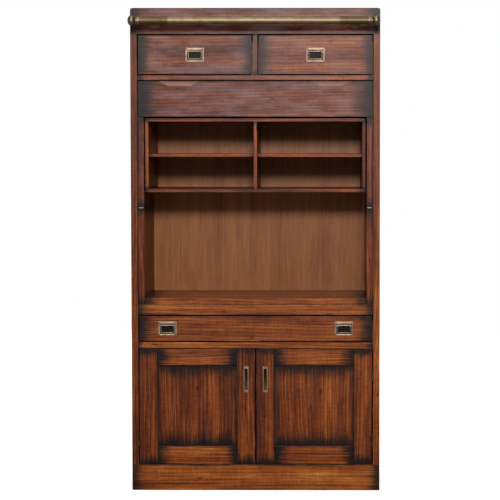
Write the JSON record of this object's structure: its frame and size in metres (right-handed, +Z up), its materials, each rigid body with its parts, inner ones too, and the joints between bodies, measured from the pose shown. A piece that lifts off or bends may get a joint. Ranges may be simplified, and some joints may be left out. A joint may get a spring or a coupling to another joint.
{
  "type": "writing cabinet",
  "caption": "Tall campaign-style writing cabinet: open desk niche and pigeonholes between drawers above and a drawer and panelled doors below, with a brass ladder rail.",
  "frame": {"origin": "on the floor, at the centre of the whole object's box in plan", "axes": "+Z up, front faces -Y, +X to the right of someone facing the front"},
  "size_m": [1.05, 0.5304, 2.04],
  "materials": {
    "stained_wood": "red-brown stained solid wood, satin lacquer, dark burnish at joints",
    "back_board": "stained veneer board, satin",
    "inner_wood": "plain oiled inner wood",
    "antique_brass": "aged brass, soft polish"
  },
  "bodies": {
    "case": {"back_panel": "back_board", "base_deck": "stained_wood", "bracket_screws": "antique_brass", "cubby_base": "stained_wood", "cubby_divider": "stained_wood", "cubby_shelves": "stained_wood", "cubby_sides": "stained_wood", "cubby_top": "stained_wood", "cupboard_shelf": "stained_wood", "desk_rail": "stained_wood", "door_hinge_fixed_leaves": "antique_brass", "drawer_divider": "stained_wood", "dust_board": "inner_wood", "fascia_board": "stained_wood", "frame_hinge_fixed_leaves": "antique_brass", "lower_deck": "stained_wood", "niche_side_left": "stained_wood", "niche_side_right": "stained_wood", "plinth_back_rail": "inner_wood", "plinth_board": "stained_wood", "rail_brackets": "antique_brass", "rail_finials": "antique_brass", "rail_sleeves": "antique_brass", "rail_tube": "antique_brass", "shelf_cleats": "inner_wood", "side_left": "stained_wood", "side_right": "stained_wood", "top_panel": "stained_wood", "upper_deck": "stained_wood", "worktop": "stained_wood"},
    "drawer_left": {"drawer_left_bottom": "inner_wood", "drawer_left_box": "inner_wood", "drawer_left_front": "stained_wood", "drawer_left_pull": "antique_brass"},
    "drawer_right": {"drawer_right_bottom": "inner_wood", "drawer_right_box": "inner_wood", "drawer_right_front": "stained_wood", "drawer_right_pull": "antique_brass"},
    "desk_drawer": {"desk_drawer_bottom": "inner_wood", "desk_drawer_box": "inner_wood", "desk_drawer_front": "stained_wood", "desk_drawer_pulls": "antique_brass"},
    "door_left": {"door_left_hinges": "antique_brass", "door_left_panel": "stained_wood", "door_left_pull": "antique_brass", "door_left_rails": "stained_wood", "door_left_stiles": "stained_wood"},
    "door_right": {"door_right_hinges": "antique_brass", "door_right_panel": "stained_wood", "door_right_pull": "antique_brass", "door_right_rails": "stained_wood", "door_right_stiles": "stained_wood"},
    "front_frame": {"frame_panel": "stained_wood", "frame_legs": "stained_wood", "frame_hinge_moving_leaves": "antique_brass"},
    "drawer_left_bail": {"drawer_left_bail": "antique_brass"},
    "drawer_right_bail": {"drawer_right_bail": "antique_brass"},
    "desk_drawer_bail_left": {"desk_drawer_bail_left": "antique_brass"},
    "desk_drawer_bail_right": {"desk_drawer_bail_right": "antique_brass"}
  },
  "joints": [
    {"name": "drawer_left_slide", "type": "slide", "parent": "case", "child": "drawer_left", "axis": [0, -1, 0], "range_m": [0, 0.28]},
    {"name": "drawer_right_slide", "type": "slide", "parent": "case", "child": "drawer_right", "axis": [0, -1, 0], "range_m": [0, 0.28]},
    {"name": "desk_drawer_slide", "type": "slide", "parent": "case", "child": "desk_drawer", "axis": [0, -1, 0], "range_m": [0, 0.28]},
    {"name": "door_left_hinge", "type": "hinge", "parent": "case", "child": "door_left", "pos_m": [-0.495, -0.13925, 0.358], "axis": [0, 0, -1], "range_deg": [0, 170]},
    {"name": "door_right_hinge", "type": "hinge", "parent": "case", "child": "door_right", "pos_m": [0.495, -0.13925, 0.358], "axis": [0, 0, 1], "range_deg": [0, 170]},
    {"name": "front_frame_hinge", "type": "hinge", "parent": "case", "child": "front_frame", "pos_m": [0, -0.13925, 1.201], "axis": [1, 0, 0], "range_deg": [0, 90]},
    {"name": "drawer_left_bail_pivot", "type": "hinge", "parent": "drawer_left", "child": "drawer_left_bail", "pos_m": [-0.2535, -0.13325, 1.8533], "axis": [-1, 0, 0], "range_deg": [0, 90]},
    {"name": "drawer_right_bail_pivot", "type": "hinge", "parent": "drawer_right", "child": "drawer_right_bail", "pos_m": [0.2535, -0.13325, 1.8533], "axis": [-1, 0, 0], "range_deg": [0, 90]},
    {"name": "desk_drawer_bail_left_pivot", "type": "hinge", "parent": "desk_drawer", "child": "desk_drawer_bail_left", "pos_m": [-0.373, -0.13325, 0.6988], "axis": [-1, 0, 0], "range_deg": [0, 90]},
    {"name": "desk_drawer_bail_right_pivot", "type": "hinge", "parent": "desk_drawer", "child": "desk_drawer_bail_right", "pos_m": [0.373, -0.13325, 0.6988], "axis": [-1, 0, 0], "range_deg": [0, 90]}
  ]
}
